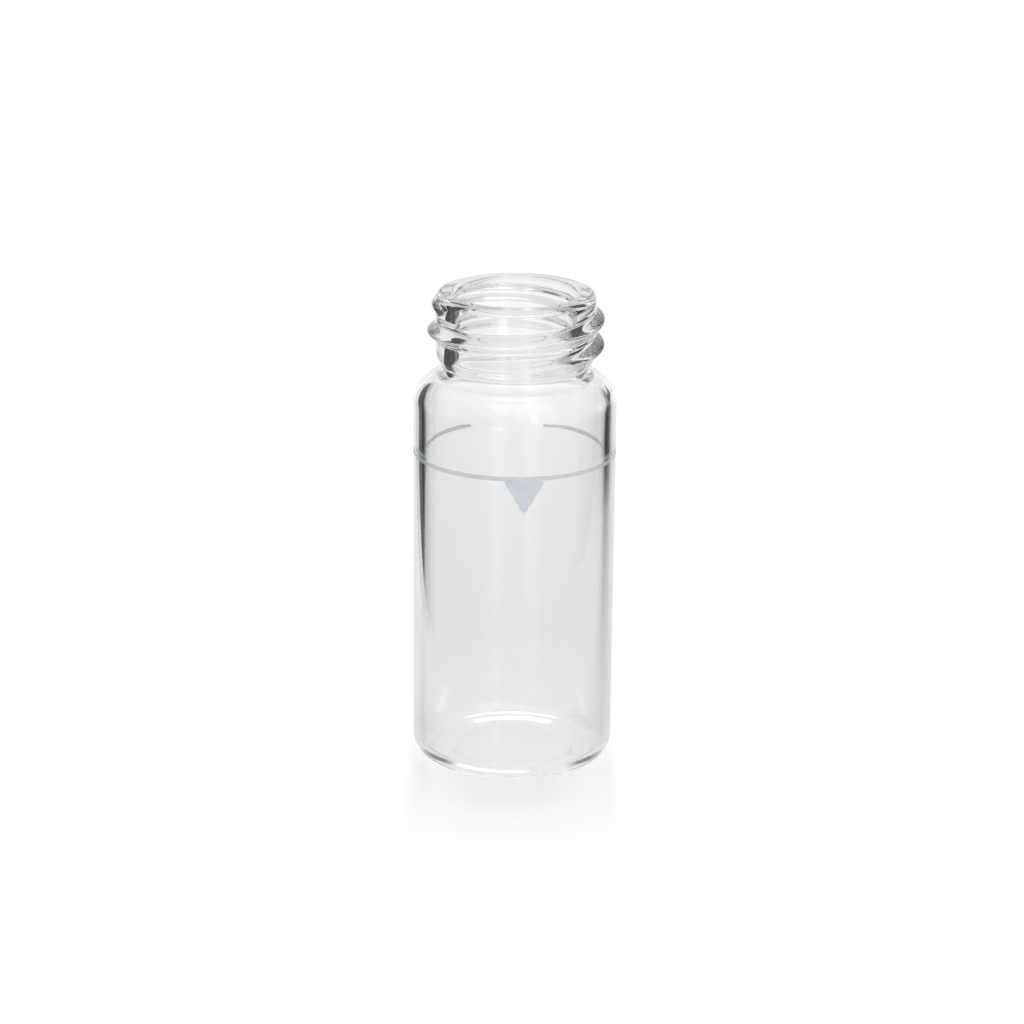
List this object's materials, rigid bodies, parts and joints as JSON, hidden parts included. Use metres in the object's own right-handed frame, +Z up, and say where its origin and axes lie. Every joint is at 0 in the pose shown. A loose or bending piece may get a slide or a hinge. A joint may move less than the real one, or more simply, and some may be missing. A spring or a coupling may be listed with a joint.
{
  "type": "glass sample vial",
  "caption": "Clear glass sample vial: straight round body, rounded shoulder, screw-thread neck with a fire-polished lip, and a fired fill line with an index triangle.",
  "frame": {"origin": "centre of the standing ring, on the surface that the vial stands on", "axes": "+Z up along the vial's axis towards the lip, -Y towards the index triangle"},
  "size_m": [0.025, 0.025, 0.06],
  "materials": {
    "clear_glass": "gloss",
    "enamel": "satin"
  },
  "bodies": {
    "root": {"glass_vial": "clear_glass", "fill_mark": "enamel"}
  },
  "joints": []
}
